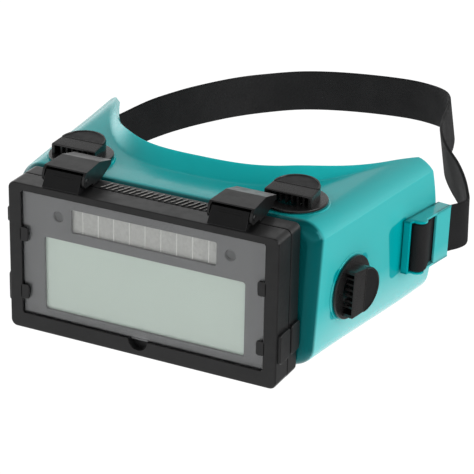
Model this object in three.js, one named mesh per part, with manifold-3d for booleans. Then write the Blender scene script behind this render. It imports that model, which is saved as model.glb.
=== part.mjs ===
// Flip-front welding goggles: a soft one-piece body with vents and an elastic head strap, a fixed
// lens frame, and a hinged front frame that carries an auto-darkening filter cartridge.
// Millimetres, +Z up, the front faces -Y. Each part is first laid out from the centre of the front
// opening (x to the wearer's left as seen from the front, y = depth behind the front plane,
// z = height), and the whole group is then moved so that the origin is the centre of the fixed
// frame's bottom face.
import * as THREE from 'three';
import { mergeVertices } from 'three/addons/utils/BufferGeometryUtils.js';
import Module from 'manifold-3d';

const wasm = await Module();
wasm.setup();

// ---- Driving dimensions ----------------------------------------------------------------------
const GAP = 0.3;                // clearance between pieces that touch
const FRAME_HALF = 57.6;        // half width of both frames
const FRAME_TOP = 28.8;         // frame top above the opening's centre
const FRAME_BOTTOM = -32.5;     // frame bottom below the opening's centre
const FLIP_DEPTH = 10.2;        // depth of the hinged front frame
const REAR_FRONT = 10.6;        // front face of the fixed frame
const REAR_BACK = 18.5;         // back face of the fixed frame
const OPEN_HALF = [52, 25.85];  // front opening, half width and half height
const POCKET_HALF = [54.7, 27.4];
const LIP_DEPTH = 2.2;          // depth of the front frame's opening rim
const LENS_HALF = [54.4, 25.5]; // fixed safety lens
const BODY_FRONT = 18.8;        // front face of the soft body
const BODY_CORNER = 5;          // radius round the front of the soft body
const WALL = 2.4;               // thickness of the soft body
const BODY_TOP = 28.2;
const BODY_HALF = 64;           // half width of the body just behind its front corner
const FLARE = 0.1305;           // how much each side moves out per millimetre of depth
const SIDE_BELLY = 1.3;         // extra half width at the middle height of the sides, near the rear
const TEMPLE_DEPTH = 104.5;     // rear edge of the sides at their top and bottom
const TEMPLE_BELLY = 4.5;       // how much further back the sides reach at their middle height
const BROW_DEPTH = 49;          // rear edge of the top at the middle
const NOSE_DEPTH = 58;          // rear edge of the underside at the middle
const [BROW_RISE, BROW_REACH] = [6.1, 6.5];  // the turned-up flange along the brow, height and depth
const BROW_SAG = 0.8;            // how far the top sinks in front of that flange
const HINGE = { x: 35.3, y: 6, z: 32.6 };
const BARREL_R = 1.9;
const PIN_R = 1.0;
const BORE_R = 1.1;
const BRACKET_HALF = 9.25;      // half width of a hinge bracket
const CHEEK = 1;
const HOOD_TAPER = 0.1;         // how much narrower a hinge bracket is behind its ridge
const TOP_VENT = { x: 46.4, y: 36.5, seat: 28.3 };
const SIDE_VENT = { y: 44.5, z: -5.7 };
const VENT_R = 12.9;
const HOOD_R = 10.7;
const SPIGOT_R = 8.6;
const STRAP_WIDTH = 20;
const STRAP_THICK = 1.4;
const WINDOW = { half: [43, 15.25], z: -7.7 };
const SOLAR = { half: [31, 4.75], z: 16.5 };
const SENSOR = { x: 36.7, z: 17.3, r: 2.1 };
const LUG_MIDDLE = 93;          // depth of the middle of a strap bracket
const LUG_Z = -3;
const LUG_TILT = 0.045;         // the strap bracket drops a little towards the rear
const LUG_HALF = 11.2;          // half height of a strap bracket
const LUG_OUT = 6.5;            // how far a strap bracket stands off the wall
const BAR = { x: 4.9, y: -6.5, r: 1.5 };  // the bracket's bar, out of the wall and back from its middle

// ---- Colours ---------------------------------------------------------------------------------
const BLACK = { color: 0x2b2b2d, roughness: 0.5, metalness: 0 };
const TEAL = { color: 0x17a3a3, roughness: 0.25, metalness: 0 };
const GREY = { color: 0x75787a, roughness: 0.5, metalness: 0 };
const CLEAR = { color: 0xdfe8e6, roughness: 0.05, metalness: 0, transparent: true, opacity: 0.35 };
const STEEL = { color: 0xb4b7ba, roughness: 0.3, metalness: 1 };
const RUBBER = { color: 0x222222, roughness: 0.8, metalness: 0 };
const WEBBING = { color: 0x262627, roughness: 0.9, metalness: 0 };
const FILTER = { color: 0xb4c4b8, roughness: 0.08, metalness: 0 };
const CRYSTAL = { color: 0x5e6e62, roughness: 0.1, metalness: 0 };
const CELLS = { color: 0xaaaca6, roughness: 0.35, metalness: 0 };
const BOARD = { color: 0x1d5a34, roughness: 0.5, metalness: 0 };
const SENSOR_FACE = { color: 0x3a3f44, roughness: 0.2, metalness: 0 };

// ---- Solid helpers ---------------------------------------------------------------------------
function solid(geometry) {
  const bare = geometry.clone();
  bare.deleteAttribute('normal');
  bare.deleteAttribute('uv');
  const merged = mergeVertices(bare, 1e-5);
  const vertProperties = new Float32Array(merged.attributes.position.array);
  const triVerts = new Uint32Array(merged.index.array);
  return new wasm.Manifold(new wasm.Mesh({ numProp: 3, vertProperties, triVerts }));
}

function toGeometry(manifold) {
  const mesh = manifold.getMesh();
  const geometry = new THREE.BufferGeometry();
  geometry.setAttribute('position', new THREE.BufferAttribute(new Float32Array(mesh.vertProperties), 3));
  geometry.setIndex(new THREE.BufferAttribute(new Uint32Array(mesh.triVerts), 1));
  geometry.computeVertexNormals();
  return geometry;
}

function united(solids) {
  return solids.reduce((sum, next) => sum.add(next));
}

function without(base, cuts) {
  return cuts.reduce((rest, cut) => rest.subtract(cut), base);
}

function mirrored(geometry) {
  const copy = geometry.clone().scale(-1, 1, 1);
  const index = copy.index.array;
  for (let i = 0; i < index.length; i += 3) {
    [index[i + 1], index[i + 2]] = [index[i + 2], index[i + 1]];
  }
  return copy;
}

function box(x0, x1, y0, y1, z0, z1) {
  const geometry = new THREE.BoxGeometry(x1 - x0, y1 - y0, z1 - z0);
  return geometry.translate((x0 + x1) / 2, (y0 + y1) / 2, (z0 + z1) / 2);
}

// A closed rounded rectangle centred on (cx, cy), drawn in the X-Z plane.
function roundedRect(halfX, halfZ, radius, cx = 0, cz = 0) {
  const shape = new THREE.Shape();
  const [x0, x1, z0, z1] = [cx - halfX, cx + halfX, cz - halfZ, cz + halfZ];
  shape.moveTo(x0 + radius, z0);
  shape.lineTo(x1 - radius, z0);
  shape.absarc(x1 - radius, z0 + radius, radius, -Math.PI / 2, 0);
  shape.lineTo(x1, z1 - radius);
  shape.absarc(x1 - radius, z1 - radius, radius, 0, Math.PI / 2);
  shape.lineTo(x0 + radius, z1);
  shape.absarc(x0 + radius, z1 - radius, radius, Math.PI / 2, Math.PI);
  shape.lineTo(x0, z0 + radius);
  shape.absarc(x0 + radius, z0 + radius, radius, Math.PI, Math.PI * 1.5);
  return shape;
}

// A shape of the X-Z plane, extruded from depth y0 to depth y1.
function slab(shape, y0, y1, curveSegments = 4) {
  const geometry = new THREE.ExtrudeGeometry(shape, { depth: y1 - y0, bevelEnabled: false, curveSegments });
  return geometry.rotateX(Math.PI / 2).translate(0, y1, 0);
}

function ringSlab(outer, hole, y0, y1) {
  outer.holes.push(hole);
  return slab(outer, y0, y1);
}

// A profile in the Y-Z plane, given as [y, z] corners, extruded across x0 to x1.
function profileX(corners, x0, x1) {
  const shape = new THREE.Shape(corners.map(([y, z]) => new THREE.Vector2(y, z)));
  const geometry = new THREE.ExtrudeGeometry(shape, { depth: x1 - x0, bevelEnabled: false });
  return geometry.rotateY(Math.PI / 2).rotateX(Math.PI / 2).translate(x0, 0, 0);
}

function cylinderX(radius, x0, x1, y, z, segments = 20) {
  const geometry = new THREE.CylinderGeometry(radius, radius, x1 - x0, segments);
  return geometry.rotateZ(Math.PI / 2).translate((x0 + x1) / 2, y, z);
}

function cylinderY(radius, y0, y1, x, z, segments = 24) {
  const geometry = new THREE.CylinderGeometry(radius, radius, y1 - y0, segments);
  return geometry.translate(x, (y0 + y1) / 2, z);
}

function cylinderZ(radius, z0, z1, segments = 32) {
  const geometry = new THREE.CylinderGeometry(radius, radius, z1 - z0, segments);
  return geometry.rotateX(Math.PI / 2).translate(0, 0, (z0 + z1) / 2);
}

const goggles = new THREE.Group();
goggles.position.set(0, -(REAR_FRONT + REAR_BACK) / 2, -FRAME_BOTTOM);

function place(name, geometry, finish, parent = goggles) {
  const mesh = new THREE.Mesh(geometry, new THREE.MeshStandardMaterial(finish));
  mesh.name = name;
  parent.add(mesh);
  return mesh;
}

// ---- Fixed lens frame ------------------------------------------------------------------------
const FRAME_MID = (FRAME_TOP + FRAME_BOTTOM) / 2;
const FRAME_RISE = (FRAME_TOP - FRAME_BOTTOM) / 2;

function frameOutline() {
  return roundedRect(FRAME_HALF, FRAME_RISE, 3.5, 0, FRAME_MID);
}

// A row of short slanted ribs along the top, between the hinges.
function ribRow() {
  const count = 13;
  return Array.from({ length: count }, (_, i) => {
    const rib = new THREE.BoxGeometry(0.9, 4.6, 0.9).rotateZ(-0.35);
    return solid(rib.translate((i - (count - 1) / 2) * 3.1, 14.4, FRAME_TOP));
  });
}

function rearFrame() {
  const ledgeFront = 16.4;
  const collarBack = 23.4;
  const shell = solid(slab(frameOutline(), REAR_FRONT, REAR_BACK));
  const collar = solid(slab(roundedRect(49.3, 20.7, 8), REAR_BACK - 1, collarBack));
  const lip = solid(slab(roundedRect(51.6, 23.1, 9), BODY_FRONT + WALL + GAP, collarBack));
  const catches = [-1, 1].map((side) => solid(box(
    side > 0 ? FRAME_HALF - 1 : -FRAME_HALF - 1.2, side > 0 ? FRAME_HALF + 1.2 : -FRAME_HALF + 1,
    REAR_FRONT + 0.3, REAR_BACK - 0.5, -22.4, -10.2)));
  const tabs = [-1, 1].flatMap((side) => [-14, 12].map((z) => solid(box(
    side * 53.8 - 2.2, side * 53.8 + 2.2, REAR_FRONT, REAR_FRONT + 0.8, z, z + 6))));
  const sockets = [-1, 1].map((side) => solid(box(
    side * HINGE.x - 6.3, side * HINGE.x + 6.3, 12.2, 16.8, 26.8, FRAME_TOP + 1)));
  const lensPocket = solid(slab(roundedRect(LENS_HALF[0] + 0.4, LENS_HALF[1] + 0.4, 1.5), 9, ledgeFront));
  const sight = solid(slab(roundedRect(47, 18.6, 6), 9, collarBack + 1));
  const frame = united([shell, collar, lip, ...catches, ...ribRow()]);
  return toGeometry(united([without(frame, [lensPocket, sight, ...sockets]), ...tabs]));
}

place('rear_frame', rearFrame(), BLACK);
place('safety_lens', slab(roundedRect(...LENS_HALF, 1.2), 11.8, 14.8), CLEAR);
const gasketHole = roundedRect(50, 21.8, 3);
place('lens_gasket', ringSlab(roundedRect(...LENS_HALF, 1.2), gasketHole, 15.1, 16.1), RUBBER);

// ---- Hinge brackets and pins -----------------------------------------------------------------
// One bracket, centred on x = 0: a hood over two cheeks that hold the pin, on a foot with a tongue.
function bracket() {
  const top = [[5.9, 35.5], [5.9, 36.1], [17.5, 36.5], [26.4, 34.2], [26.2, 32.6], [18.4, 29.1],
    [15.5, 29.1], [15.5, 31.5], [10.5, 35.5]];
  const cheekProfile = [[10.9, 29.1], [10.9, 30.1], [4.6, 30.1], [3.6, 31.4], [3.6, 33], [4.4, 34.8],
    [5.9, 36.1], [16, 36.4], [16, 29.1]];
  const hood = solid(profileX(top, -BRACKET_HALF, BRACKET_HALF));
  const cheeks = [[-BRACKET_HALF, CHEEK - BRACKET_HALF], [BRACKET_HALF - CHEEK, BRACKET_HALF]].map(
    ([x0, x1]) => solid(profileX(cheekProfile, x0, x1)));
  const foot = solid(box(-BRACKET_HALF, BRACKET_HALF, 10.9, 18.4, 29.1, 30.1));
  const tongue = solid(box(-6, 6, 12.5, 16.5, 27.1, 29.3));
  const bore = solid(cylinderX(BORE_R, -12, 12, HINGE.y, HINGE.z));
  const geometry = toGeometry(united([hood, ...cheeks, foot, tongue]).subtract(bore));
  const spots = geometry.getAttribute('position');
  for (let i = 0; i < spots.count; i += 1) {
    const back = Math.min(1, Math.max(0, (spots.getY(i) - 8) / 10));
    spots.setX(i, spots.getX(i) * (1 - HOOD_TAPER * back));
  }
  return geometry;
}

const bracketGeometry = bracket();
const pinGeometry = cylinderX(PIN_R, -BRACKET_HALF, BRACKET_HALF, HINGE.y, HINGE.z);
for (const [side, word] of [[-1, 'left'], [1, 'right']]) {
  place(`hinge_bracket_${word}`, bracketGeometry.clone(), BLACK).position.x = side * HINGE.x;
  place(`hinge_pin_${word}`, pinGeometry.clone(), STEEL).position.x = side * HINGE.x;
}

// ---- Hinged front frame ----------------------------------------------------------------------
// One knuckle, centred on x = 0: a plate that leans back in front, and a barrel on a web round the pin.
function knuckle() {
  const plate = [[1.1, 28], [1.1, 28.8], [4.9, 35], [5.5, 34.5], [6, HINGE.z], [4.6, 28]];
  const web = box(-7.3, 7.3, HINGE.y - 1.2, HINGE.y + 1.2, 28, HINGE.z - 1);
  const slot = [[3, 33.3], [4.35, 33.3], [4.85, 34.1], [3.5, 34.1]];
  const barrel = cylinderX(BARREL_R, -7.9, 7.9, HINGE.y, HINGE.z);
  const body = united([profileX(plate, -7.9, 7.9), web, barrel].map(solid));
  return without(body, [profileX(slot, -4.6, 4.6), cylinderX(BORE_R, -12, 12, HINGE.y, HINGE.z)].map(solid));
}

// The outer block of the front frame, with its front edge chamfered.
function flipBlock() {
  const chamfer = 1.2;
  const steps = [[chamfer, 0], [0, chamfer], [0, FLIP_DEPTH]];
  const rings = steps.map(([inset, y]) => {
    const outline = roundedRect(FRAME_HALF - inset, FRAME_RISE - inset, 4 - inset, 0, FRAME_MID);
    return outline.getPoints(5).slice(0, -1).map((p) => new THREE.Vector3(p.x, y, p.y));
  });
  return loft(rings);
}

// A closed solid through rings of points that all have the same count, capped with flat ends.
function loft(rings) {
  const count = rings[0].length;
  const index = [];
  for (let r = 0; r + 1 < rings.length; r += 1) {
    for (let i = 0; i < count; i += 1) {
      const [a, b] = [r * count + i, r * count + ((i + 1) % count)];
      index.push(a, b, a + count, b, b + count, a + count);
    }
  }
  for (let i = 1; i + 1 < count; i += 1) {
    const last = (rings.length - 1) * count;
    index.push(0, i + 1, i, last, last + i, last + i + 1);
  }
  return indexed(rings.flat(), index);
}

// A geometry from points and triangles, turned so that its faces point out.
function indexed(points, index) {
  let volume = 0;
  for (let i = 0; i < index.length; i += 3) {
    volume += points[index[i]].dot(points[index[i + 1]].clone().cross(points[index[i + 2]]));
  }
  if (volume < 0) {
    index.reverse();
  }
  const geometry = new THREE.BufferGeometry().setFromPoints(points);
  geometry.setIndex(index);
  geometry.computeVertexNormals();
  return geometry;
}

function flipFrame() {
  const opening = solid(slab(roundedRect(...OPEN_HALF, 0.8), -1, LIP_DEPTH + 1));
  const pocket = solid(slab(roundedRect(...POCKET_HALF, 1.5), LIP_DEPTH, FLIP_DEPTH + 1));
  const fingerNotch = solid(cylinderY(3.9, -1, LIP_DEPTH + 1, -0.9, -26));
  const coverTabs = [-1, 1].flatMap((side) => [-19.6, 4.7].map((z) => solid(box(
    side * 51 - 1.7, side * 51 + 1.7, 0, 0.8, z, z + 6))));
  const latches = [-1, 1].map((side) => solid(box(
    side > 0 ? FRAME_HALF - 1 : -FRAME_HALF - 1.2, side > 0 ? FRAME_HALF + 1.2 : -FRAME_HALF + 1,
    1.5, FLIP_DEPTH - 0.3, -22.4, -10.2)));
  const thumbGrip = solid(box(-FRAME_HALF - 1, -FRAME_HALF + 1, 0.8, 6, 11.5, 17.6));
  const knuckles = [-1, 1].map((side) => knuckle().translate([side * HINGE.x, 0, 0]));
  const frame = without(solid(flipBlock()), [opening, pocket, fingerNotch]);
  return toGeometry(united([frame, ...coverTabs, ...latches, thumbGrip, ...knuckles]));
}

place('flip_frame', flipFrame(), BLACK);
place('cover_lens', slab(roundedRect(51.7, 25.5, 0.7), 1.1, 1.9), CLEAR);

// ---- Auto-darkening filter cartridge ---------------------------------------------------------
const CARTRIDGE_HALF = [54.3, 27];
const CARTRIDGE_FRONT = 2.5;
const CARTRIDGE_BACK = 7.6;

function filterBezel() {
  const face = CARTRIDGE_FRONT + 1.1;
  const block = solid(slab(roundedRect(...CARTRIDGE_HALF, 1.2), CARTRIDGE_FRONT, CARTRIDGE_BACK));
  const inside = roundedRect(CARTRIDGE_HALF[0] - 1.5, CARTRIDGE_HALF[1] - 1.5, 1);
  const hollow = slab(inside, face, CARTRIDGE_BACK + 1);
  const window = slab(roundedRect(...WINDOW.half, 1.5, 0, WINDOW.z), 1, face + 1);
  const solar = slab(roundedRect(...SOLAR.half, 1, 0, SOLAR.z), 1, face + 1);
  const eyes = [-1, 1].map((side) => cylinderY(SENSOR.r, 1, face + 1, side * SENSOR.x, SENSOR.z, 20));
  return toGeometry(without(block, [hollow, window, solar, ...eyes].map(solid)));
}

function backCover() {
  const plate = roundedRect(...CARTRIDGE_HALF, 1.2);
  const view = roundedRect(44.5, 16.75, 1.5, 0, WINDOW.z);
  return ringSlab(plate, view, CARTRIDGE_BACK + GAP, CARTRIDGE_BACK + 1.1);
}

function retainerRing() {
  return ringSlab(roundedRect(54.3, 27, 1.2), roundedRect(48.5, 22, 3), 9, 10.1);
}

place('filter_bezel', filterBezel(), GREY);
place('filter_back_cover', backCover(), BLACK);
place('filter_retainer', retainerRing(), BLACK);
place('uv_ir_filter', slab(roundedRect(44.5, 16.75, 1, 0, WINDOW.z), 3.9, 4.9), FILTER);
place('lcd_shutter', slab(roundedRect(46, 17.4, 1, 0, WINDOW.z), 5.2, 7.3), CRYSTAL);
place('solar_panel', slab(roundedRect(32.5, 5.4, 0.6, 0, SOLAR.z), 3.9, 4.6), CELLS);
place('circuit_board', box(-50, 50, 4.9, 5.5, 10.8, 24.5), BOARD);
for (const [side, word] of [[-1, 'left'], [1, 'right']]) {
  place(`arc_sensor_${word}`, cylinderY(2.6, 3.9, 4.6, side * SENSOR.x, SENSOR.z, 20), SENSOR_FACE);
  place(`backup_battery_${word}`, cylinderY(6.2, 5.8, 7.3, side * 40, 17.4), STEEL);
}

// ---- Soft body -------------------------------------------------------------------------------
// Stations round the body are points (a, b) on a unit rounded rectangle, a across and b up.
function unitLoop() {
  const points = [];
  const [ra, rb] = [0.14, 0.26];
  const [corner, acrossSteps, upSteps] = [5, 18, 6];
  const run = (from, to, count) => {
    for (let i = 0; i < count; i += 1) {
      const t = i / count;
      points.push([from[0] + (to[0] - from[0]) * t, from[1] + (to[1] - from[1]) * t]);
    }
  };
  const turn = (ca, cb, start) => {
    for (let i = 0; i < corner; i += 1) {
      const angle = start + (i / corner) * (Math.PI / 2);
      points.push([ca + ra * Math.cos(angle), cb + rb * Math.sin(angle)]);
    }
  };
  run([ra - 1, -1], [1 - ra, -1], acrossSteps);
  turn(1 - ra, rb - 1, -Math.PI / 2);
  run([1, rb - 1], [1, 1 - rb], upSteps);
  turn(1 - ra, 1 - rb, 0);
  run([1 - ra, 1], [ra - 1, 1], acrossSteps);
  turn(ra - 1, 1 - rb, Math.PI / 2);
  run([-1, 1 - rb], [-1, rb - 1], upSteps);
  turn(ra - 1, rb - 1, Math.PI);
  return points;
}

function smooth(low, high, value) {
  const t = Math.min(1, Math.max(0, (value - low) / (high - low)));
  return t * t * (3 - 2 * t);
}

// Depth of the rear edge: short over the brow and under the nose, long at the temples.
function rimDepth(a, b) {
  const across = Math.min(1, Math.abs(a) / 0.93);
  const temple = TEMPLE_DEPTH + TEMPLE_BELLY * (1 - b * b);
  const brow = BROW_DEPTH + (temple - BROW_DEPTH) * across ** 3.1;
  const cheek = NOSE_DEPTH + (temple - NOSE_DEPTH) * across ** 2.4;
  const up = smooth(-0.75, 0.75, b);
  return cheek + (brow - cheek) * up;
}

// Half width of the body at depth y: it flares backwards, leans in below at the front and bellies out.
function halfWidth(y, b) {
  const lean = 1.6 * b * (1 - smooth(30, 95, y));
  const belly = SIDE_BELLY * (1 - b * b) * smooth(30, 100, y);
  return BODY_HALF + FLARE * (y - BODY_FRONT - BODY_CORNER) + lean + belly;
}

// Height of the outer skin at (a, b) and depth y, with the turned-up brow edge and the nose arch.
function skinHeight(a, b, y, inner) {
  const middle = (BODY_TOP + FRAME_BOTTOM) / 2;
  const rise = (BODY_TOP - FRAME_BOTTOM) / 2 - inner;
  const toRim = rimDepth(a, b) - y;
  const middlePart = (1 - smooth(0.5, 0.92, Math.abs(a))) * smooth(0.4, 1, b);
  const ramp = Math.max(0, 1 - toRim / BROW_REACH) * BROW_RISE - BROW_SAG * smooth(22, 40, y);
  const brow = middlePart * ramp;
  const bridge = Math.exp(-(((a * BODY_HALF) / 13) ** 2));
  const nose = 17 * bridge * smooth(26, 56, y) * smooth(-0.4, -1, b);
  return middle + b * rise + brow + nose;
}

function bodyProfile([a, b]) {
  const open = [a * 49.8, b * 21.2];
  const start = BODY_FRONT + BODY_CORNER;
  const rim = rimDepth(a, b);
  const skin = (y, inner, inset) => new THREE.Vector3(
    a * (halfWidth(y, b) - inner - inset), y, skinHeight(a, b, y, inner + inset * 0.7));
  const outer = [new THREE.Vector3(open[0], BODY_FRONT, open[1])];
  for (const angle of [0, 0.45, 0.95]) {
    const inset = BODY_CORNER * (1 - Math.sin(angle));
    outer.push(skin(BODY_FRONT + BODY_CORNER * (1 - Math.cos(angle)), 0, inset));
  }
  const inner = [];
  const steps = 8;
  for (let i = 0; i <= steps; i += 1) {
    const y = i < steps - 1 ? start + (rim - BROW_REACH - start) * (i / (steps - 2))
      : rim - BROW_REACH * 0.5 * (steps - i);
    outer.push(skin(y, 0, 0));
    inner.unshift(skin(y, WALL, 0));
  }
  inner.push(skin(BODY_FRONT + WALL, WALL, 3));
  inner.push(new THREE.Vector3(open[0], BODY_FRONT + WALL, open[1]));
  return [...outer, ...inner];
}

// Joins one closed profile per station into a ring-shaped solid.
function ringOfProfiles(profiles) {
  const [turns, count] = [profiles.length, profiles[0].length];
  const index = [];
  for (let i = 0; i < turns; i += 1) {
    for (let j = 0; j < count; j += 1) {
      const [a, b] = [i * count + j, i * count + ((j + 1) % count)];
      const [c, d] = [((i + 1) % turns) * count + j, ((i + 1) % turns) * count + ((j + 1) % count)];
      index.push(a, c, b, b, c, d);
    }
  }
  return indexed(profiles.flat(), index);
}

// Frames that carry the pieces fixed to a side wall: local +X points out of the wall, +Y backwards.
const WALL_TURN = Math.atan(FLARE);

function sideMatrix(y, z) {
  const rise = (BODY_TOP - FRAME_BOTTOM) / 2;
  const at = new THREE.Matrix4().makeTranslation(halfWidth(y, (z - FRAME_BOTTOM) / rise - 1), y, z);
  return at.multiply(new THREE.Matrix4().makeRotationZ(-WALL_TURN));
}

const sideVentMatrix = sideMatrix(SIDE_VENT.y, SIDE_VENT.z)
  .multiply(new THREE.Matrix4().makeRotationY(Math.PI / 2 + 0.04));
const lugMatrix = sideMatrix(LUG_MIDDLE, LUG_Z).multiply(new THREE.Matrix4().makeRotationX(-LUG_TILT));

function gogglesBody() {
  const shell = solid(ringOfProfiles(unitLoop().map(bodyProfile)));
  const topAt = (g) => g.translate(TOP_VENT.x, TOP_VENT.y, 0);
  const boss = topAt(cylinderZ(VENT_R + 0.8, TOP_VENT.seat - 3, TOP_VENT.seat));
  const above = topAt(cylinderZ(VENT_R + 0.8, TOP_VENT.seat, TOP_VENT.seat + 9));
  const topHole = topAt(cylinderZ(SPIGOT_R + GAP, 20, 40));
  const below = topAt(cylinderZ(VENT_R, 15, TOP_VENT.seat - 3));
  const sideBoss = cylinderZ(VENT_R + 0.8, -2.2, 0.5).applyMatrix4(sideVentMatrix);
  const sideClear = cylinderZ(VENT_R + 0.8, 0.5, 9).applyMatrix4(sideVentMatrix);
  const sideBack = cylinderZ(VENT_R, -9, -2.4).applyMatrix4(sideVentMatrix);
  const sideHole = cylinderZ(SPIGOT_R + GAP, -12, 12).applyMatrix4(sideVentMatrix);
  const lugSlot = box(-9, 9, -9.3, -0.7, -9.3, 9.3).applyMatrix4(lugMatrix);
  const both = (geometry) => [solid(geometry), solid(mirrored(geometry))];
  const padded = united([shell, ...both(boss), ...both(sideBoss)]);
  const cuts = [above, below, topHole, sideClear, sideBack, sideHole, lugSlot].flatMap(both);
  return toGeometry(without(padded, cuts));
}

place('goggle_body', gogglesBody(), TEAL);

// ---- Vents -----------------------------------------------------------------------------------
// A cap with its seat at z = 0: a flange, a half-round hood open towards -Y, and a hollow spigot.
function ventCap() {
  const [flange, top, lip, wall] = [1.4, 6.4, -5.3, 1.1];
  const disc = cylinderZ(VENT_R, GAP, flange);
  const dome = cylinderZ(HOOD_R, flange - 0.5, top);
  const tube = cylinderZ(SPIGOT_R, -6.6, flange, 24);
  const front = box(-20, 20, -20, lip, flange, 20);
  const slope = profileX([[lip - 1, top - 1.7], [lip - 1, top + 2], [1.5, top + 2], [1.5, top]], -20, 20);
  const hollow = cylinderZ(HOOD_R - wall, flange, top - 1.5);
  const mouth = box(-9, 9, -20, 0, flange, top - 2.2);
  const bore = cylinderZ(SPIGOT_R - 1.3, -8, flange + 1, 24);
  const hood = without(solid(dome), [front, slope].map(solid));
  const shell = without(united([solid(disc), solid(tube), hood]), [hollow, mouth, bore].map(solid));
  const ribs = [-6, -3.6, -1.2, 1.2, 3.6, 6].map((x) => solid(box(
    x - 0.4, x + 0.4, lip + 0.6, -0.5, flange - 0.3, top - 1.4)));
  return toGeometry(united([shell, ...ribs]));
}

// The ring that clips the cap from inside: a collar on the spigot, below the wall.
function ventRing() {
  const [inner, outer] = [SPIGOT_R + GAP, VENT_R - 1.4];
  const section = [[inner, -6.4], [outer, -6.4], [outer, -4.6], [inner, -4.6], [inner, -6.4]];
  const points = section.map(([r, z]) => new THREE.Vector2(r, z));
  return new THREE.LatheGeometry(points, 28).rotateX(Math.PI / 2);
}

const capGeometry = ventCap();
const ringGeometry = ventRing();
const topSpot = new THREE.Matrix4().makeTranslation(TOP_VENT.x, TOP_VENT.y, TOP_VENT.seat);
const sideSpot = sideVentMatrix.clone().multiply(new THREE.Matrix4().makeTranslation(0, 0, 0.5));
for (const [spotName, spot] of [['top', topSpot], ['side', sideSpot]]) {
  const cap = capGeometry.clone().applyMatrix4(spot);
  const ring = ringGeometry.clone().applyMatrix4(spot);
  place(`vent_cap_${spotName}_right`, cap, BLACK);
  place(`vent_cap_${spotName}_left`, mirrored(cap), BLACK);
  place(`vent_ring_${spotName}_right`, ring, BLACK);
  place(`vent_ring_${spotName}_left`, mirrored(ring), BLACK);
}

// ---- Strap brackets and strap ----------------------------------------------------------------
// A bracket in its wall frame (x out of the wall, y backwards, both from its middle).
function strapBracket() {
  const [front, back, flange] = [-11.6, 16, 0.9];
  const base = box(0.4, 1.4, -10.4, back, -LUG_HALF, LUG_HALF);
  const cover = box(LUG_OUT - 1.2, LUG_OUT, 4.5, back, -LUG_HALF, LUG_HALF);
  const post = box(0.4, 3.4, front, -10.4, -LUG_HALF, LUG_HALF);
  const walls = [-LUG_HALF, LUG_HALF - flange].flatMap((z) => [
    box(0.4, LUG_OUT, front, back, z, z + flange),
    cylinderZ(3.1, z, z + flange, 24).translate(BAR.x, BAR.y, 0)]);
  const bar = cylinderZ(BAR.r, 0.5 - LUG_HALF, LUG_HALF - 0.5, 16).translate(BAR.x, BAR.y, 0);
  const neck = box(-3.6, 1, -9, -1, -9, 9);
  const clip = box(-4.4, -2.9, -10, 0, -10.6, 10.6);
  return toGeometry(united([base, cover, post, ...walls, bar, neck, clip].map(solid)));
}

const lugGeometry = strapBracket().applyMatrix4(lugMatrix);
place('strap_bracket_right', lugGeometry, TEAL);
place('strap_bracket_left', mirrored(lugGeometry), TEAL);

// Centre line of one end of the strap: stitched end, turn round the bar, exit, then its free part.
function strapEnd(free) {
  const turnR = BAR.r + GAP + STRAP_THICK / 2;
  const turn = [180, 215, 250, 285, 320, 355].map((degrees) => {
    const angle = degrees * Math.PI / 180;
    return [BAR.x + turnR * Math.cos(angle), BAR.y + turnR * Math.sin(angle), 0];
  });
  const [inner, outer] = [2.4, 4.25];
  const inBracket = [[inner, 13, 0], [inner, 3, 0], [inner, -3.5, 0], ...turn,
    [7.1, -4.2, 0], [5.9, -1, 0], [4.7, 2.2, 0], [outer, 5, 0], [outer, 10, 0], [outer + 0.1, 16.5, 0]];
  const points = inBracket.map((p) => new THREE.Vector3(...p).applyMatrix4(lugMatrix));
  return [...points, ...free.map((p) => new THREE.Vector3(...p))];
}

// The band hangs loose, so its two sides differ a little.
const LOOSE_RIGHT = [[84.9, 116, -3.6], [85.4, 120.5, -3.6], [83.2, 126, -2], [80.2, 131.8, -0.2],
  [76.9, 136.6, 1.8], [73.4, 140.6, 3.7], [69.4, 144.4, 5.4], [65.4, 149, 6.8], [61.9, 154, 8],
  [58.1, 162, 8.4], [53.4, 177, 7.1], [48.6, 195, 5.9], [43.4, 208.6, 5.1], [37.6, 216.6, 4.2],
  [27.6, 223.4, 3], [16.5, 226.4, 2.3], [-2.9, 225.2, 1.7], [-20.8, 220, 1.6], [-33.2, 213.1, 1.7]];
const LOOSE_LEFT = [[84.9, 116, -3.6], [85.4, 120.5, -3.6], [83.2, 126, -2], [80, 131.8, -0.2],
  [76.5, 136.6, 1.8], [72.8, 140.6, 3.7], [68.6, 144.4, 5.4], [64.2, 149, 6.8], [59.5, 154, 8],
  [54.5, 162, 8.4], [49.5, 177, 6.9], [44.2, 197, 3.4]];

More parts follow.
